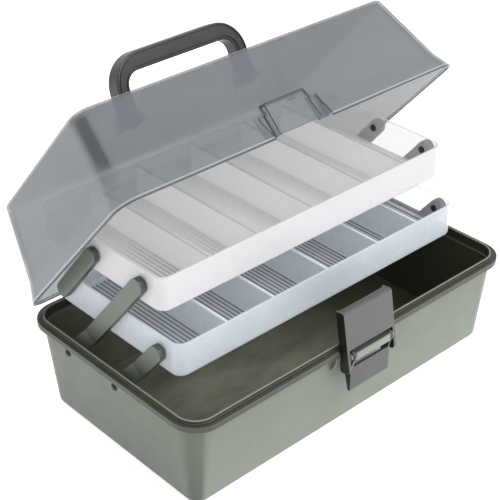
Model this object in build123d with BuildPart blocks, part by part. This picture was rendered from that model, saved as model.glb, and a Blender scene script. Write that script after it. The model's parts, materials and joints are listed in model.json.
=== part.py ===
from build123d import *
from math import cos, radians, sin, tan
import os

os.makedirs("parts", exist_ok=True)

# Cantilever tackle box, open: X to the right, Y to the back, Z up, millimetres.
# The origin is the centre of the base's underside.

# Base shell: half sizes on X and Y
FOOT_X, FOOT_Y = 163.4, 88.5
FOOT_CORNER = 11.0
DRAFT = 5.5
WALL = 2.2
FLOOR = 2.4
LEDGE_Z = 75.0
LIP_X, LIP_Y = 170.6, 96.2
LIP_CORNER = 18.0
LIP_WALL = 1.3
LIP_Z = 84.2
FLANGE_X, FLANGE_Y = 175.5, 101.5
FLANGE_Z0, FLANGE_Z1 = 77.0, 81.5

# Lid hinge and lid: heights and Y places are those of the closed lid
HINGE_Y, HINGE_Z = 104.0, 84.5
LID_OPEN = 49.0
RIM_Z, SKIRT_Z, TOP_Z = 82.0, 98.0, 161.0
RIM_X, SKIRT_X, TOP_X = 174.0, 169.0, 158.5
RIM_Y, SKIRT_Y, TOP_Y = 99.65, 94.65, 84.15
LID_MID_Y = 0.35
LID_WALL = 2.0
KNUCKLE_R = 3.2
HINGE_PIN_R = 1.5
HINGE_X = 95.0
LID_KNUCKLE, BASE_KNUCKLE = 13.0, 13.0

# Niche in the lid's front for the latch claw, and the catch block in it
NICHE_X = 30.0
NICHE_Y = -91.5
NICHE_TOP = 103.0
CATCH_BACK_Y = -90.2
CATCH_BOTTOM, CATCH_TOP = 85.0, 111.6
CATCH_LOW = (-96.2, 21.5, 23.5)
CATCH_HIGH = (-94.6, 19.5, 22.6)
CATCH_WALL = 1.6

# Carry handle: pivot in the closed lid's frame, and its lean from the lid's normal
HANDLE_Y, HANDLE_Z = 7.0, 168.6
HANDLE_LEAN = 25.0
HANDLE_X = 67.4
HANDLE_LEG = 11.4
HANDLE_TOP = 50.0
HANDLE_BAR = 15.0
HANDLE_DEPTH = 14.0
HANDLE_PIN_R = 2.4
HANDLE_CORNER, HANDLE_INNER_CORNER = 28.0, 12.0
LUG_IN, LUG_OUT, LUG_WIDTH = 51.0, 67.8, 4.6

# Arms of the two stacked parallelograms, per side
ARM_ANGLE = 51.0
ARM_WIDTH = 13.0
ARM_IN, ARM_OUT = 152.2, 157.7
ARM_JOG = 8.1
SHORT_ARM, LONG_ARM, UPPER_ARM = 56.0, 119.3, 63.3
FRONT_BASE_Y, REAR_BASE_Y, BASE_PIVOT_Z = -4.0, 54.0, 67.0
TRAY_SPAN = 55.0

# Trays
TRAY_X = 151.0
TRAY_DEPTH = 146.0
TRAY_HEIGHT = 29.0
TRAY_WALL = 1.6
TRAY_CORNER = 9.0
DIVIDERS = (-104.0, -57.0, 0.0, 57.0, 104.0)
LOWER_FRONT, LOWER_TOP = -59.1, 123.6
UPPER_FRONT, UPPER_TOP = -41.9, 171.8

# Rivets: shank, head and running clearance
PIN_R = 2.0
PIN_HEAD_R = 2.9
RUNNING = 0.06

# Latch: lever pivot bar on the base, claw pin on the lever
BAR_Y, BAR_Z, BAR_R = -106.0, 76.5, 3.3
BAR_X = 23.5
BAR_BLOCK, BAR_BLOCK_X, BAR_BACK = 3.9, 19.0, -98.5
BRACKET_X = 14.0
LEVER_X = 21.7
LEVER_ARM = 2.2
LEVER_FRONT, LEVER_FOOT = -107.0, 43.4
CLAW_PIN_Y, CLAW_PIN_Z, CLAW_PIN_R = -102.6, 65.0, 1.6
CLAW_X = 26.4
CLAW_LEAN = 10.0
CLAW_TOP = 49.5
CLAW_BACK, CLAW_HOOK, CLAW_FRONT = -1.0, 0.6, 7.5
CLAW_WINDOW = 17.0
PLATE = 2.0

arm_dy, arm_dz = -cos(radians(ARM_ANGLE)), sin(radians(ARM_ANGLE))


def along(pivot, length):
    """The far pivot of an arm that starts at pivot, as (y, z)."""
    return pivot[0] + length * arm_dy, pivot[1] + length * arm_dz


FRONT_BASE = (FRONT_BASE_Y, BASE_PIVOT_Z)
REAR_BASE = (REAR_BASE_Y, BASE_PIVOT_Z)
LOWER_A = along(FRONT_BASE, SHORT_ARM)
LOWER_B = along(REAR_BASE, SHORT_ARM)
LOWER_C = (LOWER_B[0] + TRAY_SPAN, LOWER_B[1])
UPPER_B = along(REAR_BASE, LONG_ARM)
UPPER_C = (UPPER_B[0] + TRAY_SPAN, UPPER_B[1])

# The lid's own plane: its origin is on the hinge axis, its Z is the lid's outward normal
open_s, open_c = sin(radians(LID_OPEN)), cos(radians(LID_OPEN))
LID = Plane(origin=(0, HINGE_Y, HINGE_Z), x_dir=(1, 0, 0), z_dir=(0, open_s, open_c))
LID_SIDE = Plane(origin=LID.origin, x_dir=LID.y_dir, z_dir=LID.x_dir)

# The handle's plane: its origin is on the handle's pivot, its Y runs up the legs
pivot_on_lid = LID.from_local_coords(Vector(0, HANDLE_Y - HINGE_Y, HANDLE_Z - HINGE_Z))
lean_y = sin(radians(LID_OPEN - HANDLE_LEAN))
lean_z = cos(radians(LID_OPEN - HANDLE_LEAN))
HANDLE = Plane(origin=pivot_on_lid, x_dir=(1, 0, 0), z_dir=(0, -lean_z, lean_y))

# The claw's side plane: X up the claw, Y towards its front
claw_s, claw_c = sin(radians(CLAW_LEAN)), cos(radians(CLAW_LEAN))
CLAW_SIDE = Plane(
    origin=(0, CLAW_PIN_Y, CLAW_PIN_Z), x_dir=(0, claw_s, claw_c), z_dir=(1, 0, 0)
)


def side_plane(x):
    """A plane across the box at x: its X is the box's Y, its Y is the box's Z."""
    return Plane(origin=(x, 0, 0), x_dir=(0, 1, 0), z_dir=(1, 0, 0))


def lid_side(x):
    """The same for the lid's own frame, with closed-lid coordinates less the hinge's."""
    return LID_SIDE.offset(x)


def closed(y, z):
    """A point of the closed lid's side view, in lid_side coordinates."""
    return y - HINGE_Y, z - HINGE_Z


def save(part, name):
    part.label = name
    export_step(part, f"parts/{name}.step")


# ---------------------------------------------------------------- base
with BuildPart() as base_shell:
    with BuildSketch(Plane.XY):
        RectangleRounded(2 * FOOT_X, 2 * FOOT_Y, FOOT_CORNER)
    extrude(amount=FLANGE_Z0, taper=-DRAFT)
    fillet(base_shell.faces().sort_by(Axis.Z)[0].edges(), 4.0)
    with BuildSketch(Plane.XY.offset(LEDGE_Z - 2.0)):
        RectangleRounded(2 * LIP_X, 2 * LIP_Y, LIP_CORNER)
    extrude(amount=LIP_Z - LEDGE_Z + 2.0)
    with BuildSketch(Plane.XY.offset(FLANGE_Z0)):
        RectangleRounded(2 * FLANGE_X, 2 * FLANGE_Y, LIP_CORNER + FLANGE_Y - LIP_Y)
    extrude(amount=FLANGE_Z1 - FLANGE_Z0)
    # the cavity, wider above the ledge
    inset = WALL - FLOOR * tan(radians(DRAFT))
    with BuildSketch(Plane.XY.offset(FLOOR)):
        RectangleRounded(2 * (FOOT_X - inset), 2 * (FOOT_Y - inset), FOOT_CORNER - inset)
    extrude(amount=LEDGE_Z - FLOOR, taper=-DRAFT, mode=Mode.SUBTRACT)
    with BuildSketch(Plane.XY.offset(LEDGE_Z)):
        RectangleRounded(
            2 * (LIP_X - LIP_WALL), 2 * (LIP_Y - LIP_WALL), LIP_CORNER - LIP_WALL
        )
    extrude(amount=LIP_Z - LEDGE_Z + 1.0, mode=Mode.SUBTRACT)
    # the flange is cut back to the lip where the latch claw passes
    with BuildSketch(Plane.XY.offset(LEDGE_Z - 3.0)):
        with Locations((0, -LIP_Y - 5.0)):
            Rectangle(2 * NICHE_X, 10.0)
    extrude(amount=FLANGE_Z1 - LEDGE_Z + 4.0, mode=Mode.SUBTRACT)
    # curved guard ribs on each side of the latch
    for x in (-NICHE_X - 2.0, NICHE_X):
        with BuildSketch(side_plane(x)):
            with BuildLine():
                guard_top = Line((-92.0, 79.0), (-FLANGE_Y, 79.0))
                guard_front = Line(guard_top @ 1, (-FLANGE_Y, 75.5))
                guard_arc = ThreePointArc(guard_front @ 1, (-98.6, 66.5), (-91.6, 60.0))
                Line(guard_arc @ 1, guard_top @ 0)
            make_face()
        extrude(amount=2.0)
    # bracket behind the latch bar
    with BuildSketch(side_plane(-BRACKET_X)):
        with BuildLine():
            Polyline((BAR_BACK, BAR_Z + BAR_BLOCK), (BAR_BACK, BAR_Z - BAR_BLOCK),
                     (-91.8, 62.0), (-91.8, BAR_Z + BAR_BLOCK),
                     (BAR_BACK, BAR_Z + BAR_BLOCK))
        make_face()
    extrude(amount=2 * BRACKET_X)
    # hinge knuckles on the back flange
    for x in (-HINGE_X, HINGE_X):
        for end in (-1, 1):
            start = x + end * (LID_KNUCKLE / 2 + 0.5)
            with BuildSketch(side_plane(start)):
                with Locations((HINGE_Y, HINGE_Z)):
                    Circle(KNUCKLE_R)
                with BuildLine():
                    Polyline((100.5, FLANGE_Z0), (HINGE_Y + KNUCKLE_R, FLANGE_Z1 - 1.0),
                             (HINGE_Y + KNUCKLE_R, HINGE_Z), (HINGE_Y - 1.0, HINGE_Z),
                             (HINGE_Y - 2.2, FLANGE_Z1), (100.5, FLANGE_Z1),
                             (100.5, FLANGE_Z0))
                make_face()
                with Locations((HINGE_Y, HINGE_Z)):
                    Circle(HINGE_PIN_R, mode=Mode.SUBTRACT)
            extrude(amount=end * BASE_KNUCKLE)
    # holes for the arm rivets, sunk from outside
    wall_at_pivot = FOOT_X + BASE_PIVOT_Z * tan(radians(DRAFT))
    for y in (FRONT_BASE_Y, REAR_BASE_Y):
        for side in (-1, 1):
            seat = Plane(
                origin=(side * (wall_at_pivot + 1.0), y, BASE_PIVOT_Z),
                x_dir=(0, 1, 0),
                z_dir=(side, 0, 0),
            )
            with Locations(seat):
                CounterBoreHole(PIN_R, PIN_HEAD_R + 0.3, 1.6, 6.0)
save(base_shell.part, "base_shell")

RIVET_SEAT_X = wall_at_pivot - 0.6
with BuildPart() as base_arm_rivets:
    for y in (FRONT_BASE_Y, REAR_BASE_Y):
        for side in (-1, 1):
            seat = Plane(
                origin=(side * RIVET_SEAT_X, y, BASE_PIVOT_Z),
                x_dir=(0, 1, 0),
                z_dir=(side, 0, 0),
            )
            with BuildSketch(seat):
                Circle(PIN_HEAD_R)
            extrude(amount=0.7)
            with BuildSketch(seat):
                Circle(PIN_R - 0.01)
            extrude(amount=-(RIVET_SEAT_X - ARM_OUT - ARM_JOG + 4.2))
save(base_arm_rivets.part, "base_arm_rivets")

with BuildPart() as lid_hinge_pins:
    half = LID_KNUCKLE / 2 + 0.5 + BASE_KNUCKLE
    for x in (-HINGE_X, HINGE_X):
        with BuildSketch(side_plane(x - half)):
            with Locations((HINGE_Y, HINGE_Z)):
                Circle(HINGE_PIN_R - 0.01)
        extrude(amount=2 * half)
save(lid_hinge_pins.part, "lid_hinge_pins")

with BuildPart() as latch_bar:
    with BuildSketch(side_plane(-BAR_BLOCK_X)):
        with Locations(((BAR_Y - BAR_BLOCK + BAR_BACK) / 2, BAR_Z)):
            Rectangle(BAR_BACK - BAR_Y + BAR_BLOCK, 2 * BAR_BLOCK)
    extrude(amount=2 * BAR_BLOCK_X)
    fillet(latch_bar.edges().filter_by(Axis.X).group_by(Axis.Y)[0], 1.4)
    with BuildSketch(side_plane(-BAR_X)):
        with Locations((BAR_Y, BAR_Z)):
            Circle(BAR_R - 0.01)
    extrude(amount=2 * BAR_X)
save(latch_bar.part, "latch_bar")


# ---------------------------------------------------------------- arms
def arm_plane(pivot):
    """Plane with X along the arm and Z along the box's X, on the arm's first pivot."""
    return Plane(
        origin=(0, pivot[0], pivot[1]), x_dir=(0, arm_dy, arm_dz), z_dir=(1, 0, 0)
    )


def band_plane(pivot):
    """Plane with X along the arm and Y along the box's minus X, across the arm's width."""
    return Plane(
        origin=(0, pivot[0], pivot[1]),
        x_dir=(0, arm_dy, arm_dz),
        z_dir=(0, -arm_dz, arm_dy),
    )


def left_arm(pivot, length, holes, jogged):
    """A moulded channel arm on the left side: smooth outside, hollow towards the tray.

    holes are the distances along the arm of its pivots on the tray side.
    A jogged arm steps outwards at its first end to reach the base's wall.
    """
    end = ARM_WIDTH / 2
    jog = ARM_JOG if jogged else 0.0
    with BuildPart() as arm:
        with BuildSketch(band_plane(pivot)):
            with BuildLine():
                outer = Polyline((-end, ARM_OUT + jog), (8.0, ARM_OUT + jog),
                                 (22.0, ARM_OUT), (length + end, ARM_OUT))
                inner = Polyline((length + end, ARM_IN), (21.0, ARM_IN),
                                 (7.0, ARM_IN + jog), (-end, ARM_IN + jog))
                Line(outer @ 1, inner @ 0)
                Line(inner @ 1, outer @ 0)
            make_face()
        extrude(amount=ARM_WIDTH / 2, both=True)
        with BuildSketch(arm_plane(pivot).offset(-ARM_OUT - jog)):
            with Locations((length / 2, 0)):
                SlotCenterToCenter(length, ARM_WIDTH)
        extrude(amount=ARM_OUT + jog - ARM_IN, mode=Mode.INTERSECT)
        fillet_edges = arm.faces().sort_by(Axis.X)[0].edges()
        fillet(fillet_edges, 1.2)
        # hollow side
        hollow_start = 24.0 if jogged else 0.0
        hollow = length - hollow_start
        with BuildSketch(arm_plane(pivot).offset(-ARM_IN - 3.6)):
            with Locations((hollow_start + hollow / 2, 0)):
                SlotCenterToCenter(hollow, ARM_WIDTH - 3.2)
            for s in holes:
                with Locations((s, 0)):
                    Circle(PIN_R + 2.0, mode=Mode.SUBTRACT)
        extrude(amount=3.6, mode=Mode.SUBTRACT)
        with BuildSketch(arm_plane(pivot).offset(-ARM_IN - 4.0)):
            for s in holes:
                with Locations((s, 0)):
                    Circle(PIN_R + RUNNING)
        extrude(amount=5.0, mode=Mode.SUBTRACT)
        if jogged:
            with BuildSketch(arm_plane(pivot).offset(-ARM_OUT - jog)):
                Circle(PIN_R + RUNNING)
            extrude(amount=4.6, mode=Mode.SUBTRACT)
    return arm.part


def mirrored(part):
    with BuildPart() as twin:
        mirror(part, about=Plane.YZ)
    return twin.part


ARMS = {
    "front_arm": left_arm(FRONT_BASE, SHORT_ARM, (SHORT_ARM,), True),
    "long_arm": left_arm(REAR_BASE, LONG_ARM, (SHORT_ARM, LONG_ARM), True),
    "rear_arm": left_arm(LOWER_C, UPPER_ARM, (0.0, UPPER_ARM), False),
}
for name, arm in ARMS.items():
    save(arm, f"{name}_left")
    save(mirrored(arm), f"{name}_right")


# ---------------------------------------------------------------- trays
def tray(front, top, pivots):
    """An open tray with dividers from front to back and rivet holes in its end walls."""
    mid = front + TRAY_DEPTH / 2
    bottom = top - TRAY_HEIGHT
    with BuildPart() as shell:
        with BuildSketch(Plane.XY.offset(bottom)):
            with Locations((0, mid)):
                RectangleRounded(2 * TRAY_X, TRAY_DEPTH, TRAY_CORNER)
        extrude(amount=TRAY_HEIGHT)
        fillet(shell.faces().sort_by(Axis.Z)[0].edges(), 2.5)
        with BuildSketch(Plane.XY.offset(bottom + TRAY_WALL)):
            with Locations((0, mid)):
                RectangleRounded(
                    2 * (TRAY_X - TRAY_WALL),
                    TRAY_DEPTH - 2 * TRAY_WALL,
                    TRAY_CORNER - TRAY_WALL,
                )
            for x in DIVIDERS:
                with Locations((x, mid)):
                    Rectangle(TRAY_WALL, TRAY_DEPTH, mode=Mode.SUBTRACT)
        extrude(amount=TRAY_HEIGHT, mode=Mode.SUBTRACT)
        for y, z in pivots:
            with BuildSketch(side_plane(-TRAY_X - 1.0)):
                with Locations((y, z)):
                    Circle(PIN_R)
            extrude(amount=TRAY_WALL + 2.0, mode=Mode.SUBTRACT)
            with BuildSketch(side_plane(TRAY_X + 1.0)):
                with Locations((y, z)):
                    Circle(PIN_R)
            extrude(amount=-TRAY_WALL - 2.0, mode=Mode.SUBTRACT)
    return shell.part


def tray_rivets(pivots):
    """Rivets with their heads inside the tray and their shanks in the arms' bosses."""
    seat = TRAY_X - TRAY_WALL
    with BuildPart() as rivets:
        for y, z in pivots:
            for side in (-1, 1):
                plane = Plane(
                    origin=(side * seat, y, z), x_dir=(0, 1, 0), z_dir=(side, 0, 0)
                )
                with BuildSketch(plane):
                    Circle(PIN_HEAD_R)
                extrude(amount=-1.3)
                with BuildSketch(plane):
                    Circle(PIN_R - 0.01)
                extrude(amount=ARM_IN + 3.7 - seat)
    return rivets.part


LOWER_PIVOTS = (LOWER_A, LOWER_B, LOWER_C)
UPPER_PIVOTS = (UPPER_B, UPPER_C)
save(tray(LOWER_FRONT, LOWER_TOP, LOWER_PIVOTS), "lower_tray")
save(tray_rivets(LOWER_PIVOTS), "lower_tray_rivets")
save(tray(UPPER_FRONT, UPPER_TOP, UPPER_PIVOTS), "upper_tray")
save(tray_rivets(UPPER_PIVOTS), "upper_tray_rivets")


# ---------------------------------------------------------------- lid
RIM = (RIM_Z, RIM_X, RIM_Y, 16.0)
SKIRT = (SKIRT_Z, SKIRT_X, SKIRT_Y, 15.0)
TOP = (TOP_Z, TOP_X, TOP_Y, 14.0)

with BuildPart() as niche_core:
    with BuildSketch(LID.offset(RIM_Z - 2.0 - HINGE_Z)):
        with Locations((0, (NICHE_Y - 110.0) / 2 - HINGE_Y)):
            Rectangle(2 * NICHE_X, NICHE_Y + 110.0)
    extrude(amount=NICHE_TOP - RIM_Z + 2.0)

with BuildPart() as niche_wall:
    with BuildSketch(LID.offset(RIM_Z - 2.0 - HINGE_Z)):
        with Locations((0, (NICHE_Y + LID_WALL - 110.0) / 2 - HINGE_Y)):
            Rectangle(2 * (NICHE_X + LID_WALL), NICHE_Y + LID_WALL + 110.0)
    extrude(amount=NICHE_TOP + LID_WALL - RIM_Z + 2.0)

with BuildPart() as lid_hollow:
    for z, half_x, half_y, corner in (RIM, SKIRT, TOP):
        cut = LID_WALL if z == TOP_Z else 0.0
        with BuildSketch(LID.offset(z - cut - HINGE_Z)):
            with Locations((0, LID_MID_Y - HINGE_Y)):
                RectangleRounded(
                    2 * (half_x - LID_WALL), 2 * (half_y - LID_WALL), corner - LID_WALL
                )
    loft(ruled=True)
    add(niche_wall.part, mode=Mode.SUBTRACT)

def catch_loft(wall):
    """The catch block's shape, drawn in by a wall on every side but its back."""
    with BuildPart() as block:
        for z, (front, face_x, root_x) in (
            (CATCH_BOTTOM - wall, CATCH_LOW), (CATCH_TOP - wall, CATCH_HIGH)
        ):
            front_y = front + wall - HINGE_Y
            back_y = CATCH_BACK_Y + 2 * wall - HINGE_Y
            with BuildSketch(LID.offset(z - HINGE_Z)):
                Polygon((wall - face_x, front_y), (face_x - wall, front_y),
                        (root_x - wall, -91.0 - HINGE_Y), (root_x - wall, back_y),
                        (wall - root_x, back_y), (wall - root_x, -91.0 - HINGE_Y),
                        align=None)
        loft(ruled=True)
    return block.part


catch_body = catch_loft(0.0)
catch_core = catch_loft(CATCH_WALL)

with BuildPart() as lid_shell:
    for z, half_x, half_y, corner in (RIM, SKIRT, TOP):
        with BuildSketch(LID.offset(z - HINGE_Z)):
            with Locations((0, LID_MID_Y - HINGE_Y)):
                RectangleRounded(2 * half_x, 2 * half_y, corner)
    loft(ruled=True)
    fillet(lid_shell.faces().sort_by(Axis(LID.origin, LID.z_dir))[-1].edges(), 3.5)
    add(lid_hollow.part, mode=Mode.SUBTRACT)
    add(niche_core.part, mode=Mode.SUBTRACT)
    # the niche's own walls stop above the base's lip
    with BuildSketch(LID.offset(RIM_Z - 2.0 - HINGE_Z)):
        with Locations((0, -92.5 - HINGE_Y)):
            Rectangle(2 * (NICHE_X + LID_WALL + 1.0), 9.4)
    extrude(amount=LIP_Z + 0.6 - RIM_Z + 2.0, mode=Mode.SUBTRACT)
    # pocket for the catch block in the niche's back, open behind it
    add(catch_body, mode=Mode.SUBTRACT)
    add(catch_core, mode=Mode.SUBTRACT)
    # hinge knuckles on the back of the rim
    for x in (-HINGE_X, HINGE_X):
        with BuildSketch(lid_side(x - LID_KNUCKLE / 2)):
            Circle(KNUCKLE_R)
            with BuildLine():
                Polyline(closed(98.9, 82.2), closed(102.6, 81.7), closed(HINGE_Y, HINGE_Z),
                         closed(103.6, 87.6), closed(96.6, 90.0), closed(98.9, 82.2))
            make_face()
            Circle(HINGE_PIN_R + RUNNING, mode=Mode.SUBTRACT)
        extrude(amount=LID_KNUCKLE)
    # lugs for the handle
    for side in (-1, 1):
        for start in (LUG_IN, LUG_OUT):
            with BuildSketch(lid_side(side * start)):
                with Locations(closed(HANDLE_Y, HANDLE_Z)):
                    Circle(5.2)
                with BuildLine():
                    Polyline(closed(HANDLE_Y - 9.0, TOP_Z - 0.5),
                             closed(HANDLE_Y - 5.2, HANDLE_Z),
                             closed(HANDLE_Y + 5.2, HANDLE_Z),
                             closed(HANDLE_Y + 9.0, TOP_Z - 0.5),
                             closed(HANDLE_Y - 9.0, TOP_Z - 0.5))
                make_face()
                with Locations(closed(HANDLE_Y, HANDLE_Z)):
                    Circle(HANDLE_PIN_R, mode=Mode.SUBTRACT)
            extrude(amount=side * LUG_WIDTH)
save(lid_shell.part, "lid_shell")

with BuildPart() as lid_catch:
    add(catch_body)
    add(catch_core, mode=Mode.SUBTRACT)
save(lid_catch.part, "lid_catch")


# ---------------------------------------------------------------- handle
with BuildPart() as handle_pins:
    for side in (-1, 1):
        with BuildSketch(lid_side(side * LUG_IN)):
            with Locations(closed(HANDLE_Y, HANDLE_Z)):
                Circle(HANDLE_PIN_R - 0.01)
        extrude(amount=side * (LUG_OUT + LUG_WIDTH - LUG_IN))
save(handle_pins.part, "handle_pins")

with BuildSketch() as bow:
    with Locations((0, HANDLE_TOP / 2)):
        Rectangle(2 * HANDLE_X, HANDLE_TOP)
    fillet(bow.vertices().group_by(Axis.Y)[-1], HANDLE_CORNER)
    with BuildSketch(mode=Mode.PRIVATE) as gap:
        with Locations((0, (HANDLE_TOP - HANDLE_BAR) / 2)):
            Rectangle(2 * (HANDLE_X - HANDLE_LEG), HANDLE_TOP - HANDLE_BAR)
        fillet(gap.vertices().group_by(Axis.Y)[-1], HANDLE_INNER_CORNER)
    add(gap.sketch, mode=Mode.SUBTRACT)
bow_face = bow.sketch.faces()[0]

with BuildPart() as handle:
    with BuildSketch(HANDLE):
        add(bow_face)
    extrude(amount=HANDLE_DEPTH / 2, both=True)
    fillet(handle.edges().filter_by(lambda e: e.length > 20.0), 1.2)
    # a groove inside the rim of each face
    for face in (-1, 1):
        with BuildSketch(HANDLE.offset(face * HANDLE_DEPTH / 2)):
            add(offset(bow_face, amount=-1.9, mode=Mode.PRIVATE))
            add(offset(bow_face, amount=-2.9, mode=Mode.PRIVATE), mode=Mode.SUBTRACT)
        extrude(amount=-face * 0.8, mode=Mode.SUBTRACT)
    # round pivot ends
    for side in (-1, 1):
        with BuildSketch(lid_side(side * (HANDLE_X - HANDLE_LEG))):
            with Locations(closed(HANDLE_Y, HANDLE_Z)):
                Circle(HANDLE_DEPTH / 2)
        extrude(amount=side * HANDLE_LEG)
        with BuildSketch(lid_side(side * (HANDLE_X - HANDLE_LEG - 1.0))):
            with Locations(closed(HANDLE_Y, HANDLE_Z)):
                Circle(HANDLE_PIN_R + RUNNING)
        extrude(amount=side * (HANDLE_LEG + 2.0), mode=Mode.SUBTRACT)
save(handle.part, "handle")


# ---------------------------------------------------------------- latch
with BuildPart() as latch_lever:
    # flat face plate that a fingertip gets behind
    with BuildSketch(side_plane(-LEVER_X)):
        with BuildLine():
            Polyline((LEVER_FRONT, 65.4), (LEVER_FRONT, LEVER_FOOT + 0.8),
                     (LEVER_FRONT + 0.8, LEVER_FOOT), (LEVER_FRONT + 2.2, LEVER_FOOT),
                     (LEVER_FRONT + 2.2, 65.4), (LEVER_FRONT, 65.4))
        make_face()
    extrude(amount=2 * LEVER_X)
    # side arms that ring the bar and carry the claw's pins
    for side in (-1, 1):
        with BuildSketch(side_plane(side * (LEVER_X - LEVER_ARM))):
            with Locations((BAR_Y, BAR_Z)):
                Circle(4.4)
            with Locations((CLAW_PIN_Y, CLAW_PIN_Z)):
                Circle(3.4)
            with BuildLine():
                Polyline((-109.0, 73.5), (LEVER_FRONT, 64.0),
                         (LEVER_FRONT, LEVER_FOOT + 0.8), (LEVER_FRONT + 0.8, LEVER_FOOT),
                         (LEVER_FRONT + 2.4, LEVER_FOOT), (-99.4, 63.6), (-99.6, 66.6),
                         (-102.0, 74.4), (-109.0, 73.5))
            make_face()
            with Locations((BAR_Y, BAR_Z)):
                Circle(BAR_R + RUNNING, mode=Mode.SUBTRACT)
            with Locations((CLAW_PIN_Y, CLAW_PIN_Z)):
                Circle(CLAW_PIN_R, mode=Mode.SUBTRACT)
        extrude(amount=side * LEVER_ARM)
save(latch_lever.part, "latch_lever")

with BuildPart() as latch_claw_pins:
    for side in (-1, 1):
        with BuildSketch(side_plane(side * (LEVER_X - LEVER_ARM))):
            with Locations((CLAW_PIN_Y, CLAW_PIN_Z)):
                Circle(CLAW_PIN_R - 0.01)
        extrude(amount=side * (CLAW_X - LEVER_X + LEVER_ARM))
save(latch_claw_pins.part, "latch_claw_pins")

with BuildPart() as latch_claw:
    # face plate, thicker at its foot, and the lip over its top
    with BuildSketch(CLAW_SIDE.offset(-CLAW_X)):
        with BuildLine():
            Polyline((CLAW_WINDOW, CLAW_FRONT), (CLAW_TOP - 1.5, CLAW_FRONT),
                     (CLAW_TOP, CLAW_FRONT - 1.5), (CLAW_TOP, CLAW_HOOK),
                     (CLAW_TOP - 1.6, CLAW_HOOK), (CLAW_TOP - 1.6, CLAW_FRONT - PLATE),
                     (CLAW_WINDOW + 3.0, CLAW_FRONT - PLATE),
                     (CLAW_WINDOW + 1.0, CLAW_FRONT - 3.8),
                     (CLAW_WINDOW, CLAW_FRONT - 3.8), (CLAW_WINDOW, CLAW_FRONT))
        make_face()
    extrude(amount=2 * CLAW_X)
    for side in (-1, 1):
        with BuildSketch(CLAW_SIDE.offset(side * (CLAW_X - 2.4))):
            with BuildLine():
                Polyline((-3.2, CLAW_FRONT - 2.0), (-3.6, CLAW_BACK + 1.0),
                         (-2.6, CLAW_BACK - 1.6), (2.0, CLAW_BACK - 1.6),
                         (8.0, CLAW_BACK), (CLAW_TOP, CLAW_BACK),
                         (CLAW_TOP, CLAW_FRONT - 1.5), (CLAW_TOP - 1.5, CLAW_FRONT),
                         (-1.2, CLAW_FRONT), (-3.2, CLAW_FRONT - 2.0))
            make_face()
            Circle(CLAW_PIN_R + RUNNING, mode=Mode.SUBTRACT)
        extrude(amount=side * 2.4)
save(latch_claw.part, "latch_claw")
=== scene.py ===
import json
from math import cos, pi, radians, sin

import bpy
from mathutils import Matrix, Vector


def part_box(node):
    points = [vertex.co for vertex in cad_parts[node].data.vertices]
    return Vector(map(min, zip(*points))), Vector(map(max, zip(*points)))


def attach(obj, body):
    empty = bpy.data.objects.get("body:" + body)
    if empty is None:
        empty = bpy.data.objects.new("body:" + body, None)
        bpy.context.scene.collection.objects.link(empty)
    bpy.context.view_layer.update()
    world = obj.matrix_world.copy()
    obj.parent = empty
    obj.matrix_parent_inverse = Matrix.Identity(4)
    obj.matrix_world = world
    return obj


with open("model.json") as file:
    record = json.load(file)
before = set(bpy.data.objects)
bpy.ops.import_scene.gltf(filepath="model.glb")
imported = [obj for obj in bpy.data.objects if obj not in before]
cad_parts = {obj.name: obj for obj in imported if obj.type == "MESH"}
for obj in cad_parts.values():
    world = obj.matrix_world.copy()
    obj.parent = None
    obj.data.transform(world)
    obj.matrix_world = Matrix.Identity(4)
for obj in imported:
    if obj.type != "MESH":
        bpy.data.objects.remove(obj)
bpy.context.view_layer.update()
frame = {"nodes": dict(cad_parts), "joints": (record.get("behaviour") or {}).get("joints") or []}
nodes = frame["nodes"]
HINGE = Vector(next(j for j in frame["joints"] if j["name"] == "lid_hinge")["pos_m"])
LID_OPEN = radians(49.0)

# All sizes are in metres, with X to the right, Y to the back and Z up, unless a comment says
# otherwise. Where the base's painted shade, painted highlight and painted reflection lie, as
# heights and as a stretch of its length
FLOOR_EDGE_Z = (0.0004, 0.0012)
SHOULDER_Z = (0.012, 0.062)
INSIDE_TOP_Z = (0.0752, 0.0768)
BAND_Z = (0.0755, 0.0768)
LIP_Z = (0.0834, 0.0850)
FLOOR_SHEEN_X = (-0.13, 0.032)

# Where the lid's painted shade and painted highlight lie, as heights on the closed lid
CORNER_SHADE_FADE_Z = (0.108, 0.132)
CORNER_SHADE_TOP_Z = (0.154, 0.160)
STEP_Z = (0.0972, 0.0984)
RIM_HIGHLIGHT_Z = (0.0834, 0.0848)
RIM_FOOT_Z = (0.080, 0.0830)

# Tones of the base's painted shade, painted highlight and painted reflection, in linear colour like
# all the others
CORNER_SHADE_OLIVE = (0.05, 0.058, 0.047)
SIDE_SHADE_OLIVE = (0.052, 0.061, 0.048)
SHOULDER_SHADE_OLIVE = (0.10, 0.124, 0.079)
BAND_SHADE_OLIVE = (0.034, 0.038, 0.025)
LIP_HIGHLIGHT_OLIVE = (0.20, 0.22, 0.16)
INSIDE_SHADE_OLIVE = (0.050, 0.054, 0.032)
FLOOR_SHEEN_OLIVE = (0.44, 0.435, 0.33)

# Tones of the latch bar's specks, and of the painted shade, painted light and painted highlight on
# the latch bar, the arms, the lid, the upper tray and the latch's sides
BAR_SPECK, BAR_FACE_SHADE = (0.18, 0.20, 0.15), (0.06, 0.07, 0.055)
ARM_RIM_SHADE = (0.035, 0.033, 0.027)
SMOKE_CORNER_SHADE, SMOKE_STEP_SHADE = (0.05, 0.058, 0.065), (0.09, 0.095, 0.10)
SMOKE_RIM_HIGHLIGHT, SMOKE_FOOT_SHADE = (0.42, 0.45, 0.47), (0.07, 0.08, 0.085)
MILKY_FLOOR_LIGHT, MILKY_DIVIDER_LIGHT, MILKY_RIB = (0.60, 0.60, 0.595), (0.76, 0.76, 0.755), (0.58, 0.58, 0.58)
SIDE_SHADE_BLACK = (0.008, 0.008, 0.007)


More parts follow.
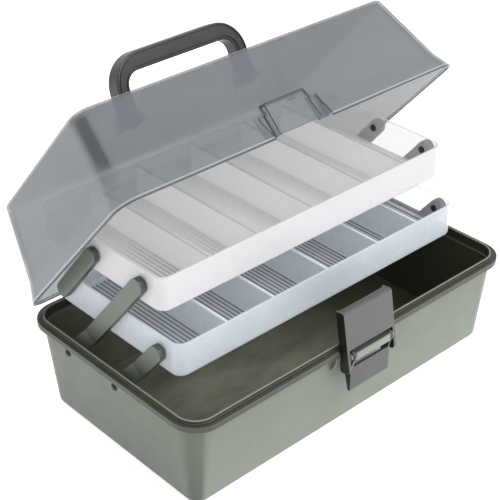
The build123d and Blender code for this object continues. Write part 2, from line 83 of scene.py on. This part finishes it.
# ---------------------------------------------------------------- materials
def new_material(name):
    """(material, its tree, its shader, its texture coordinates)."""
    mat = bpy.data.materials.new(name)
    mat.use_nodes = True
    tree = mat.node_tree
    tree.nodes.clear()
    out = tree.nodes.new("ShaderNodeOutputMaterial")
    shader = tree.nodes.new("ShaderNodeBsdfPrincipled")
    tree.links.new(shader.outputs["BSDF"], out.inputs["Surface"])
    coords = tree.nodes.new("ShaderNodeTexCoord")
    return mat, tree, shader, coords


def noise(tree, coords, scale, detail=3.0, rough=0.55, stretch=None):
    """A noise value fixed to the object; stretch is its scale along X, Y and Z."""
    tex = tree.nodes.new("ShaderNodeTexNoise")
    tex.inputs["Scale"].default_value = scale
    tex.inputs["Detail"].default_value = detail
    tex.inputs["Roughness"].default_value = rough
    source = coords.outputs["Object"]
    if stretch:
        mapping = tree.nodes.new("ShaderNodeMapping")
        mapping.inputs["Scale"].default_value = stretch
        tree.links.new(source, mapping.inputs["Vector"])
        source = mapping.outputs["Vector"]
    tree.links.new(source, tex.inputs["Vector"])
    return tex.outputs["Fac"]


def ramp(tree, value, from_low, from_high, to_low, to_high):
    """Maps from_low..from_high onto to_low..to_high, and holds the ends."""
    node = tree.nodes.new("ShaderNodeMapRange")
    node.inputs["From Min"].default_value = from_low
    node.inputs["From Max"].default_value = from_high
    node.inputs["To Min"].default_value = to_low
    node.inputs["To Max"].default_value = to_high
    tree.links.new(value, node.inputs["Value"])
    return node.outputs["Result"]


def spread(tree, value, low, high):
    """Maps a noise value, which keeps near 0.5, onto low..high."""
    return ramp(tree, value, 0.3, 0.7, low, high)


def mix_colors(tree, factor, first, second):
    """first where factor is 0, second where it is 1; each is a color or a node's output."""
    mix = tree.nodes.new("ShaderNodeMix")
    mix.data_type = "RGBA"
    tree.links.new(factor, mix.inputs["Factor"])
    for socket, color in ((mix.inputs["A"], first), (mix.inputs["B"], second)):
        if isinstance(color, tuple):
            socket.default_value = (*color, 1)
        else:
            tree.links.new(color, socket)
    return mix.outputs["Result"]


def mottled(tree, value, color, dark, light):
    """The color times dark to light, by a noise value."""
    return mix_colors(tree, spread(tree, value, 0.0, 1.0), shade(color, dark), shade(color, light))


def shade(color, factor):
    return tuple(min(1.0, c * factor) for c in color)


def edge_mask(tree, radius):
    """(softened normal, mask): the mask is 1 on edges and corners and 0 on flat faces."""
    bevel = tree.nodes.new("ShaderNodeBevel")
    bevel.samples = 6
    bevel.inputs["Radius"].default_value = radius
    geometry = tree.nodes.new("ShaderNodeNewGeometry")
    dot = tree.nodes.new("ShaderNodeVectorMath")
    dot.operation = "DOT_PRODUCT"
    tree.links.new(bevel.outputs["Normal"], dot.inputs[0])
    tree.links.new(geometry.outputs["Normal"], dot.inputs[1])
    mask = ramp(tree, dot.outputs["Value"], 0.985, 0.80, 0.0, 1.0)
    return bevel.outputs["Normal"], mask


def math_node(tree, operation, a, b):
    """a and b are numbers or nodes' outputs."""
    node = tree.nodes.new("ShaderNodeMath")
    node.operation = operation
    for socket, value in zip(node.inputs, (a, b)):
        if isinstance(value, (int, float)):
            socket.default_value = value
        else:
            tree.links.new(value, socket)
    return node.outputs["Value"]


def axis_of(tree, vector, axis):
    node = tree.nodes.new("ShaderNodeSeparateXYZ")
    tree.links.new(vector, node.inputs["Vector"])
    return node.outputs[axis]


def size_along(tree, vector, axis):
    """How far a vector reaches along an axis, whichever way it points."""
    return math_node(tree, "ABSOLUTE", axis_of(tree, vector, axis), 0)


def times(tree, a, b):
    return math_node(tree, "MULTIPLY", a, b)


def fine_relief(tree, shader, height, strength, depth, normal):
    """Bumps the shader's normal by a height value."""
    relief = tree.nodes.new("ShaderNodeBump")
    relief.inputs["Strength"].default_value = strength
    relief.inputs["Distance"].default_value = depth
    tree.links.new(height, relief.inputs["Height"])
    tree.links.new(normal, relief.inputs["Normal"])
    tree.links.new(relief.outputs["Normal"], shader.inputs["Normal"])


def plastic(name, color, rough, vary=0.06, bump=0.06, edge=0.0006, coat=0.0,
            painted_edge_color=None, painted_side_shade=None, zones=None):
    """Opaque moulded plastic: slight mottling, uneven gloss, fine grain and softened edges.

    The edge colour shows on edges, as a painted highlight where it is lighter than the body and as
    painted shade where it is darker; the side colour shows on faces that look along X, as painted
    shade; and zones is a function that adds its own tints from (tree, coords, color output).
    """
    mat, tree, shader, coords = new_material(name)
    color_out = mottled(tree, noise(tree, coords, 22.0, 4.0), color, 1 - vary, 1 + vary)
    if zones:
        color_out = zones(tree, coords, color_out)
    # Painted shade on faces that look along X
    if painted_side_shade:
        side = ramp(tree, size_along(tree, coords.outputs["Normal"], "X"), 0.6, 0.85, 0.0, 1.0)
        color_out = mix_colors(tree, side, color_out, painted_side_shade)
    normal, mask = edge_mask(tree, edge)
    # Painted highlight along edges where the edge colour is lighter, painted shade where it is
    # darker
    if painted_edge_color:
        color_out = mix_colors(tree, times(tree, mask, 0.7), color_out, painted_edge_color)
    tree.links.new(color_out, shader.inputs["Base Color"])
    rough_out = spread(tree, noise(tree, coords, 60.0), rough - 0.05, rough + 0.06)
    tree.links.new(rough_out, shader.inputs["Roughness"])
    fine_relief(tree, shader, noise(tree, coords, 900.0, 2.0), bump, 0.0003, normal)
    shader.inputs["IOR"].default_value = 1.48
    shader.inputs["Coat Weight"].default_value = coat
    shader.inputs["Coat Roughness"].default_value = 0.25
    return mat


def clear_plastic(name, color, rough, face_alpha, edge_alpha, painted_glow=0.0,
                  edge=0.0008, painted_edge_color=None, zones=None):
    """Translucent moulded plastic: denser where it is seen edge-on, with soft flow marks.

    zones is a function that adds its own tints from (tree, coords, color output, alpha)
    and returns the color and the alpha.
    """
    mat, tree, shader, coords = new_material(name)
    flow = noise(tree, coords, 9.0, 3.0, 0.5, (1.0, 2.5, 2.5))
    color_out = mottled(tree, flow, color, 0.97, 1.03)
    facing = tree.nodes.new("ShaderNodeLayerWeight")
    facing.inputs["Blend"].default_value = 0.35
    alpha = ramp(tree, facing.outputs["Facing"], 0.0, 1.0, face_alpha, edge_alpha)
    if zones:
        color_out, alpha = zones(tree, coords, color_out, alpha)
    normal, mask = edge_mask(tree, edge)
    # The edge colour is a painted highlight where it is lighter than the body and painted shade
    # where it is darker
    if painted_edge_color:
        color_out = mix_colors(tree, mask, color_out, painted_edge_color)
        alpha = math_node(tree, "MAXIMUM", alpha, times(tree, mask, edge_alpha))
    tree.links.new(color_out, shader.inputs["Base Color"])
    tree.links.new(alpha, shader.inputs["Alpha"])
    rough_out = spread(tree, noise(tree, coords, 40.0, 2.0), rough - 0.04, rough + 0.05)
    tree.links.new(rough_out, shader.inputs["Roughness"])
    fine_relief(tree, shader, noise(tree, coords, 45.0, 2.0), 0.05, 0.0004, normal)
    shader.inputs["IOR"].default_value = 1.49
    # The glow is painted light: emission in the plastic's own colour, standing in for light
    # scattered inside it
    if painted_glow:
        tree.links.new(color_out, shader.inputs["Emission Color"])
        shader.inputs["Emission Strength"].default_value = painted_glow
    return mat


def metal(name, color, rough):
    """Drawn metal with fine lines along X."""
    mat, tree, shader, coords = new_material(name)
    lines = noise(tree, coords, 400.0, 2.0, 0.5, (0.05, 1.0, 1.0))
    tree.links.new(mottled(tree, lines, color, 0.9, 1.08), shader.inputs["Base Color"])
    tree.links.new(spread(tree, lines, rough - 0.05, rough + 0.08), shader.inputs["Roughness"])
    shader.inputs["Metallic"].default_value = 1.0
    return mat


def in_range(tree, value, low, high, soft):
    """1 where value is between low and high, with soft borders."""
    rising = ramp(tree, value, low - soft, low + soft, 0.0, 1.0)
    falling = ramp(tree, value, high - soft, high + soft, 1.0, 0.0)
    return times(tree, rising, falling)


def rotated(tree, vector, angle, centre=(0, 0, 0)):
    """The vector turned about an X-wise axis through centre."""
    node = tree.nodes.new("ShaderNodeVectorRotate")
    node.rotation_type = "X_AXIS"
    node.inputs["Center"].default_value = centre
    node.inputs["Angle"].default_value = angle
    tree.links.new(vector, node.inputs["Vector"])
    return node.outputs["Vector"]


def corner_mask(tree, normal):
    """1 on faces that look diagonally between the X and Y directions."""
    both = times(tree, size_along(tree, normal, "X"), size_along(tree, normal, "Y"))
    return ramp(tree, both, 0.2, 0.42, 0.0, 1.0)


def outward_mask(tree, coords):
    """1 on walls that look away from the Z axis, 0 on those that look towards it."""
    flat = tree.nodes.new("ShaderNodeVectorMath")
    flat.operation = "MULTIPLY"
    flat.inputs[1].default_value = (1, 1, 0)
    tree.links.new(coords.outputs["Object"], flat.inputs[0])
    out = tree.nodes.new("ShaderNodeVectorMath")
    out.operation = "DOT_PRODUCT"
    tree.links.new(flat.outputs["Vector"], out.inputs[0])
    tree.links.new(coords.outputs["Normal"], out.inputs[1])
    return ramp(tree, out.outputs["Value"], 0.004, 0.012, 0.0, 1.0)


def base_zones(tree, coords, color_out):
    """The base is darker inside and on its rim band than on its drafted outer walls, all as painted
    shade.

    Its corners, end walls and shoulders are darker too, as painted shade, its lip has a painted
    highlight, and its floor has a pale stretch of painted reflection.
    """
    place, normal = coords.outputs["Object"], coords.outputs["Normal"]
    height = axis_of(tree, place, "Z")
    end_wall = ramp(tree, size_along(tree, normal, "X"), 0.6, 0.9, 0.0, 0.68)
    # Painted shade on the corners, end walls, shoulders and rim band, and a painted highlight on
    # the lip
    for mask, color in (
        (times(tree, corner_mask(tree, normal), 0.8), CORNER_SHADE_OLIVE),
        (end_wall, SIDE_SHADE_OLIVE),
        (ramp(tree, height, *SHOULDER_Z, 0.0, 0.5), SHOULDER_SHADE_OLIVE),
        (ramp(tree, height, *BAND_Z, 0.0, 1.0), BAND_SHADE_OLIVE),
        (in_range(tree, height, *LIP_Z, 0.0002), LIP_HIGHLIGHT_OLIVE),
    ):
        color_out = mix_colors(tree, mask, color_out, color)
    # Painted shade inside, with a pale stretch of painted reflection along part of the length
    floor_sheen = in_range(tree, axis_of(tree, place, "X"), *FLOOR_SHEEN_X, 0.07)
    cloud = spread(tree, noise(tree, coords, 14.0, 4.0, 0.6, (1.0, 2.2, 1.0)), 0.35, 1.0)
    inside_shade_and_sheen = mix_colors(tree, times(tree, floor_sheen, cloud), INSIDE_SHADE_OLIVE, FLOOR_SHEEN_OLIVE)
    inside = math_node(tree, "SUBTRACT", 1.0, outward_mask(tree, coords))
    inside = times(tree, inside, ramp(tree, height, *FLOOR_EDGE_Z, 0.0, 1.0))
    inside = times(tree, inside, ramp(tree, height, *INSIDE_TOP_Z, 1.0, 0.0))
    return mix_colors(tree, inside, color_out, inside_shade_and_sheen)


def bar_zones(tree, coords, color_out):
    """The bar is speckled, and darker on its upper and lower faces, as painted shade."""
    level_shade = ramp(tree, size_along(tree, coords.outputs["Normal"], "Z"), 0.6, 0.8, 0.0, 1.0)
    speck = ramp(tree, noise(tree, coords, 1100.0, 2.0), 0.52, 0.62, 0.0, 0.7)
    color_out = mix_colors(tree, speck, color_out, BAR_SPECK)
    # Painted shade on the upper and lower faces
    return mix_colors(tree, level_shade, color_out, BAR_FACE_SHADE)


def arm_zones(tree, coords, color_out):
    """The narrow rims of the arms are darker than their flat faces, as painted shade."""
    across = size_along(tree, coords.outputs["Normal"], "X")
    cloud = spread(tree, noise(tree, coords, 160.0, 2.0), 0.5, 1.0)
    rim = times(tree, ramp(tree, across, 0.25, 0.6, 1.0, 0.0), cloud)
    # Painted shade on the rims
    return mix_colors(tree, rim, color_out, ARM_RIM_SHADE)


def lid_zones(tree, coords, color_out, alpha):
    """Painted shade on the rounded corners and along a step line above the rim, and a painted
    highlight on the rim with painted shade at its foot.
    """
    place = rotated(tree, coords.outputs["Object"], LID_OPEN, HINGE)
    normal = rotated(tree, coords.outputs["Normal"], LID_OPEN)
    height = axis_of(tree, place, "Z")
    wobble = times(tree, noise(tree, coords, 60.0, 2.0), 0.02)
    fade = ramp(tree, math_node(tree, "ADD", height, wobble), *CORNER_SHADE_FADE_Z, 0.0, 1.0)
    corner_shade = times(tree, corner_mask(tree, normal), fade)
    corner_shade = times(tree, corner_shade, ramp(tree, height, *CORNER_SHADE_TOP_Z, 1.0, 0.25))
    step = in_range(tree, height, *STEP_Z, 0.0003)
    bright = in_range(tree, height, *RIM_HIGHLIGHT_Z, 0.0003)
    foot = in_range(tree, height, *RIM_FOOT_Z, 0.0002)
    # Painted shade on the corners, the step and the rim's foot, and a painted highlight on the rim;
    # all are also made more opaque
    for mask, color in (
        (times(tree, corner_shade, 0.75), SMOKE_CORNER_SHADE),
        (times(tree, step, 0.4), SMOKE_STEP_SHADE),
        (bright, SMOKE_RIM_HIGHLIGHT),
        (foot, SMOKE_FOOT_SHADE),
    ):
        color_out = mix_colors(tree, mask, color_out, color)
    painted_marks = math_node(tree, "MAXIMUM", math_node(tree, "MAXIMUM", corner_shade, bright), foot)
    return color_out, math_node(tree, "MAXIMUM", alpha, times(tree, painted_marks, 0.78))


def tray_zones(tree, coords, color_out, alpha):
    """The right end walls are thinner and clearer, so the arms behind them show through."""
    end_wall = ramp(tree, axis_of(tree, coords.outputs["Object"], "X"), 0.1480, 0.1490, 0.0, 1.0)
    across = size_along(tree, coords.outputs["Normal"], "X")
    clear = times(tree, end_wall, ramp(tree, across, 0.5, 0.8, 0.0, 1.0))
    kept = math_node(tree, "SUBTRACT", 1.0, times(tree, clear, 0.6))
    return color_out, times(tree, alpha, kept)


def frosted_zones(tree, coords, color_out, alpha):
    """The upper tray's dividers and floor are whiter than its outer walls, as painted light."""
    place, normal = coords.outputs["Object"], coords.outputs["Normal"]
    up = ramp(tree, axis_of(tree, normal, "Z"), 0.5, 0.9, 0.0, 1.0)
    # Painted light on the upward faces and the dividers
    color_out = mix_colors(tree, up, color_out, MILKY_FLOOR_LIGHT)
    divider = times(tree, ramp(tree, size_along(tree, normal, "X"), 0.6, 0.9, 0.0, 1.0),
                    ramp(tree, size_along(tree, place, "X"), 0.110, 0.130, 1.0, 0.0))
    color_out = mix_colors(tree, divider, color_out, MILKY_DIVIDER_LIGHT)
    return tray_zones(tree, coords, color_out, alpha)


def fading_ribs(tree, coords, color_out, alpha):
    """Ribs whose darker grey is painted shade, fading into the milky floor towards the right and
    the back.
    """
    x = axis_of(tree, coords.outputs["Object"], "X")
    y = axis_of(tree, coords.outputs["Object"], "Y")
    color_out = mix_colors(tree, ramp(tree, x, -0.13, -0.03, 0.0, 0.95), color_out, MILKY_RIB)
    kept = times(tree, ramp(tree, x, -0.10, -0.02, 1.0, 0.03), ramp(tree, y, -0.01, 0.05, 1.0, 0.1))
    return color_out, times(tree, alpha, kept)


# Edge colours: painted highlight on the base, latch claw, lever and trays, painted shade on the
# arms, handle and lid. Side colours: painted shade on the flanks of the claw, lever and handle.
OLIVE = plastic("base_olive", (0.172, 0.202, 0.161), 0.4, coat=0.2, edge=0.0009,
                painted_edge_color=(0.30, 0.32, 0.25), zones=base_zones)
ARM = plastic("arm_olive", (0.115, 0.133, 0.108), 0.4, coat=0.15, painted_edge_color=(0.055, 0.06, 0.05),
              zones=arm_zones)
BAR = plastic("bar_pale_olive", (0.25, 0.268, 0.222), 0.45, vary=0.12, bump=0.2, zones=bar_zones)
BLACK = plastic("latch_dark_grey", (0.084, 0.084, 0.083), 0.36, coat=0.25,
                painted_edge_color=(0.19, 0.19, 0.185), painted_side_shade=SIDE_SHADE_BLACK)
LEVER = plastic("lever_dark_grey", (0.052, 0.056, 0.056), 0.36, coat=0.25,
                painted_edge_color=(0.15, 0.155, 0.15), painted_side_shade=SIDE_SHADE_BLACK)
GRIP = plastic("handle_dark_grey", (0.042, 0.042, 0.041), 0.36, coat=0.2,
               painted_edge_color=(0.008, 0.008, 0.008), painted_side_shade=(0.012, 0.012, 0.012))
RIVET = plastic("rivet_black", (0.008, 0.008, 0.008), 0.3)
RIVET_OLIVE = plastic("rivet_olive", (0.03, 0.032, 0.026), 0.4)
STEEL = metal("pin_steel", (0.55, 0.55, 0.54), 0.32)
DARK_STEEL = metal("pin_blackened", (0.06, 0.06, 0.06), 0.35)
SMOKE = clear_plastic("lid_smoke", (0.185, 0.203, 0.225), 0.22, 0.42, 0.80, edge=0.0012,
                      painted_edge_color=(0.08, 0.09, 0.10), zones=lid_zones)
# Dark material for thin beads of painted shade along the catch block's edges
SMOKE_EDGE_SHADE = clear_plastic("lid_smoke_edge_shade", (0.05, 0.056, 0.063), 0.3, 0.8, 0.9)
# The trays' glow is painted light
FROST = clear_plastic("upper_tray_frosted", (0.55, 0.55, 0.565), 0.3, 0.80, 0.95, painted_glow=0.25,
                      painted_edge_color=(0.72, 0.72, 0.73), zones=frosted_zones)
ICE = clear_plastic("lower_tray_clear", (0.55, 0.59, 0.625), 0.26, 0.55, 0.88, painted_glow=0.22,
                    painted_edge_color=(0.85, 0.89, 0.92), zones=tray_zones)
# The ribs' darker grey is painted shade
FROST_RIB_SHADE = clear_plastic("upper_tray_rib_shade", (0.36, 0.36, 0.36), 0.35, 0.45, 0.8, painted_glow=0.2,
                          zones=fading_ribs)
ICE_RIB_SHADE = clear_plastic("lower_tray_rib_shade", (0.20, 0.21, 0.212), 0.35, 0.7, 0.9, painted_glow=0.1)
# Bright beads along the dividers' tops, as painted highlight
FROST_HIGHLIGHT_BEAD = clear_plastic("upper_tray_rim_highlight", (0.58, 0.58, 0.585), 0.25, 0.85, 0.97, painted_glow=0.2)
ICE_HIGHLIGHT_BEAD = clear_plastic("lower_tray_rim_highlight", (0.74, 0.78, 0.81), 0.25, 0.8, 0.95, painted_glow=0.2)

node_materials = {
    "base_shell": OLIVE,
    "base_arm_rivets": RIVET_OLIVE,
    "latch_bar": BAR,
    "lid_hinge_pins": STEEL,
    "lid_shell": SMOKE,
    "lid_catch": SMOKE,
    "handle_pins": STEEL,
    "handle": GRIP,
    "lower_tray": ICE,
    "upper_tray": FROST,
    "lower_tray_rivets": RIVET,
    "upper_tray_rivets": RIVET,
    "latch_lever": LEVER,
    "latch_claw": BLACK,
    "latch_claw_pins": DARK_STEEL,
}
for arm in ("front_arm", "long_arm", "rear_arm"):
    node_materials[arm + "_left"] = ARM
    node_materials[arm + "_right"] = ARM
for name, mat in node_materials.items():
    nodes[name].data.materials.clear()
    nodes[name].data.materials.append(mat)


# ---------------------------------------------------------------- helpers for pieces
def mesh_object(name, verts, faces, mat, body, smooth=False):
    mesh = bpy.data.meshes.new(name)
    mesh.from_pydata([tuple(v) for v in verts], [], faces)
    mesh.validate()
    mesh.materials.append(mat)
    for poly in mesh.polygons:
        poly.use_smooth = smooth
    obj = bpy.data.objects.new(name, mesh)
    bpy.context.scene.collection.objects.link(obj)
    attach(obj, body)
    return obj


def box_faces(i):
    """The six faces of a box whose eight corners start at vertex i, the lower four first."""
    return [(i, i + 3, i + 2, i + 1), (i + 4, i + 5, i + 6, i + 7), (i, i + 1, i + 5, i + 4),
            (i + 1, i + 2, i + 6, i + 5), (i + 2, i + 3, i + 7, i + 6), (i + 3, i, i + 4, i + 7)]


def boxes(name, spans, mat, body):
    """One object made of many axis-aligned boxes, each (low corner, high corner)."""
    verts, faces = [], []
    for (x0, y0, z0), (x1, y1, z1) in spans:
        faces += box_faces(len(verts))
        verts += [(x0, y0, z0), (x1, y0, z0), (x1, y1, z0), (x0, y1, z0),
                  (x0, y0, z1), (x1, y0, z1), (x1, y1, z1), (x0, y1, z1)]
    return mesh_object(name, verts, faces, mat, body)


def dome(verts, faces, centre, outward, radius, height):
    """Adds a low round rivet head whose flat side sits on centre."""
    ring, steps = 20, 5
    axis = Vector(outward).normalized()
    u = axis.orthogonal().normalized()
    v = axis.cross(u)
    start = len(verts)
    for i in range(steps):
        a = pi / 2 * i / steps
        for k in range(ring):
            t = 2 * pi * k / ring
            verts.append(Vector(centre) + radius * cos(a) * (u * cos(t) + v * sin(t))
                         + axis * height * sin(a))
    verts.append(Vector(centre) + axis * height)
    for i in range(steps - 1):
        for k in range(ring):
            a, b = start + i * ring + k, start + i * ring + (k + 1) % ring
            faces.append((a, b, b + ring, a + ring))
    last = start + (steps - 1) * ring
    for k in range(ring):
        faces.append((last + k, last + (k + 1) % ring, len(verts) - 1))
    faces.append(tuple(start + k for k in reversed(range(ring))))


# ---------------------------------------------------------------- tray details
# In metres: the trays' walls and dividers, the ribs on their floors, and the bright beads of
# painted highlight on top of the dividers
TRAY_WALL = 0.0016
DIVIDERS = (-0.104, -0.057, 0.0, 0.057, 0.104)
DIVIDER_GAP = 0.0022
RIB_PITCH = 0.0038
RIB_HALF = 0.00045
RIB_SINK, RIB_RISE = 0.0002, 0.0007
RIB_SIDE_GAP, RIB_END_GAP = 0.006, 0.008
BEAD_OVERHANG = 0.0002
BEAD_SINK, BEAD_RISE = 0.0010, 0.0001


def floor_ribs(low, high):
    """Spans of the ribs from front to back on a tray's floor, with none under a divider."""
    floor = low.z + TRAY_WALL
    count = int((high.x - low.x - 2 * RIB_SIDE_GAP) / RIB_PITCH)
    places = [(k - count / 2) * RIB_PITCH for k in range(count + 1)]
    return [((x - RIB_HALF, low.y + RIB_END_GAP, floor - RIB_SINK),
             (x + RIB_HALF, high.y - RIB_END_GAP, floor + RIB_RISE))
            for x in places if min(abs(x - d) for d in DIVIDERS) > DIVIDER_GAP]


def divider_highlight_beads(low, high):
    """Spans of the thin bright beads of painted highlight along the dividers' tops."""
    half = TRAY_WALL / 2 + BEAD_OVERHANG
    return [((x - half, low.y + TRAY_WALL, high.z - BEAD_SINK),
             (x + half, high.y - TRAY_WALL, high.z + BEAD_RISE)) for x in DIVIDERS]


for body, rib_shade_mat, highlight_bead_mat in (
    ("lower_tray", ICE_RIB_SHADE, ICE_HIGHLIGHT_BEAD), ("upper_tray", FROST_RIB_SHADE, FROST_HIGHLIGHT_BEAD)
):
    low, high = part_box(body)
    boxes(body + "_floor_ribs", floor_ribs(low, high), rib_shade_mat, body)
    boxes(body + "_divider_highlight_beads", divider_highlight_beads(low, high), highlight_bead_mat, body)


# ---------------------------------------------------------------- lid details
def on_open_lid(x, y, z):
    """A point given in millimetres on the closed lid, moved to where the open lid has it."""
    dy, dz = y / 1000 - HINGE.y, z / 1000 - HINGE.z
    return Vector((x / 1000, HINGE.y + dy * cos(LID_OPEN) + dz * sin(LID_OPEN),
                   HINGE.z - dy * sin(LID_OPEN) + dz * cos(LID_OPEN)))


def lid_lines(name, lines, half, mat):
    """Fine square beads along lines given by their closed-lid points."""
    verts, faces = [], []
    for first, last in lines:
        a, b = on_open_lid(*first), on_open_lid(*last)
        along = (b - a).normalized()
        u = along.cross(Vector((0, cos(LID_OPEN), -sin(LID_OPEN)))).normalized() * half
        v = along.cross(u).normalized() * half
        start = len(verts)
        for end in (a - along * half, b + along * half):
            verts += [end - u - v, end + u - v, end + u + v, end - u + v]
        faces += box_faces(start)
    return mesh_object(name, verts, faces, mat, "lid")


# Points on the closed lid in millimetres, on its right half: the catch block's face, its
# foot on the lid's front, its foot on the niche's back, and the niche's own front edge
FACE_TOP, FACE_LOW = (19.5, -94.5, 111.4), (21.5, -96.0, 85.6)
FRONT_TOP, FRONT_LOW = (22.6, -92.0, 111.4), (23.4, -93.4, 103.2)
BACK_TOP, BACK_LOW = (23.5, -91.5, 103.0), (23.5, -91.5, 86.0)
NICHE_TOP, NICHE_STEP, NICHE_LOW = (30.0, -93.4, 103.0), (30.0, -94.2, 98.0), (30.0, -98.3, 85.0)
CATCH_EDGES = (
    (FACE_TOP, FACE_LOW), (FACE_TOP, FRONT_TOP), (FRONT_TOP, FRONT_LOW),
    (BACK_TOP, BACK_LOW), (NICHE_TOP, NICHE_STEP), (NICHE_STEP, NICHE_LOW),
)
CATCH_LINE_HALF = 0.00026


def on_side(point, side):
    return side * point[0], point[1], point[2]


catch_lines = [(on_side(FACE_TOP, -1), FACE_TOP)]
for side in (-1, 1):
    catch_lines += [(on_side(first, side), on_side(last, side)) for first, last in CATCH_EDGES]
# Dark beads along the catch block's and niche's edges, as painted shade
lid_lines("lid_catch_edge_shade_lines", catch_lines, CATCH_LINE_HALF, SMOKE_EDGE_SHADE)


# ---------------------------------------------------------------- rivet caps
CAP_R, CAP_HEIGHT = 0.0030, 0.0017


def caps(name, centres, mat, body):
    """Round caps on rivets' ends, each given by its centre and its way along X."""
    verts, faces = [], []
    for centre, direction in centres:
        dome(verts, faces, centre, (direction, 0, 0), CAP_R, CAP_HEIGHT)
    return mesh_object(name, verts, faces, mat, body, smooth=True)


low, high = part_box("base_arm_rivets")
pivot_z = (low.z + high.z) / 2
head_r = (high.z - low.z) / 2
pivots = [(low.y + head_r, pivot_z), (high.y - head_r, pivot_z)]
caps("base_rivet_caps", [((side * high.x, y, z), side) for side in (-1, 1) for y, z in pivots],
     RIVET, "base")


# ---------------------------------------------------------------- stage, light, camera
FLOOR_REACH = 60
FLOOR_DROP = 0.0002
FLOOR_GLOW = 0.55
WORLD_LIGHT = 0.68
LOOK_AT = Vector((0, 0, 0.12))
LENS_MM, SENSOR_MM = 95.04, 36
AZIMUTH, ELEVATION = radians(-42.71), radians(32.14)
CAMERA_PLACE = (-0.6248, -0.6467, 0.6786)


def area_light(name, location, size, power):
    """A rectangular light that looks at the middle of the box."""
    data = bpy.data.lights.new(name, "AREA")
    data.shape = "RECTANGLE"
    data.size, data.size_y = size
    data.energy = power
    obj = bpy.data.objects.new(name, data)
    obj.location = location
    obj.rotation_euler = (LOOK_AT - Vector(location)).to_track_quat("-Z", "Y").to_euler()
    bpy.context.scene.collection.objects.link(obj)


floor_mat, _, floor_shader, _ = new_material("floor_white")
floor_shader.inputs["Base Color"].default_value = (0.93, 0.93, 0.93, 1)
floor_shader.inputs["Roughness"].default_value = 0.6
floor_shader.inputs["Emission Color"].default_value = (1, 1, 1, 1)
floor_shader.inputs["Emission Strength"].default_value = FLOOR_GLOW
floor_mesh = bpy.data.meshes.new("floor")
floor_mesh.from_pydata([(-FLOOR_REACH, -FLOOR_REACH, 0), (FLOOR_REACH, -FLOOR_REACH, 0),
                        (FLOOR_REACH, FLOOR_REACH, 0), (-FLOOR_REACH, FLOOR_REACH, 0)],
                       [], [(0, 1, 2, 3)])
floor_mesh.materials.append(floor_mat)
floor = bpy.data.objects.new("floor", floor_mesh)
floor.location.z = -FLOOR_DROP
bpy.context.scene.collection.objects.link(floor)

world = bpy.data.worlds.new("studio")
world.use_nodes = True
world.node_tree.nodes["Background"].inputs["Color"].default_value = (1, 1, 1, 1)
world.node_tree.nodes["Background"].inputs["Strength"].default_value = WORLD_LIGHT
bpy.context.scene.world = world

area_light("key", (0.6, -1.3, 1.5), (1.0, 1.0), 22)
area_light("fill", (-1.5, -0.4, 0.9), (1.2, 1.2), 2)
area_light("back", (-0.3, 1.4, 1.3), (1.2, 0.8), 8)

camera_data = bpy.data.cameras.new("camera")
camera_data.lens = LENS_MM
camera_data.sensor_width = SENSOR_MM
camera_data.clip_start = 0.05
camera = bpy.data.objects.new("camera", camera_data)
look_back = Vector((sin(AZIMUTH) * cos(ELEVATION), -cos(AZIMUTH) * cos(ELEVATION), sin(ELEVATION)))
camera.location = CAMERA_PLACE
camera.rotation_euler = (-look_back).to_track_quat("-Z", "Y").to_euler()
bpy.context.scene.collection.objects.link(camera)
bpy.context.scene.camera = camera
bpy.context.scene.view_settings.view_transform = "Standard"
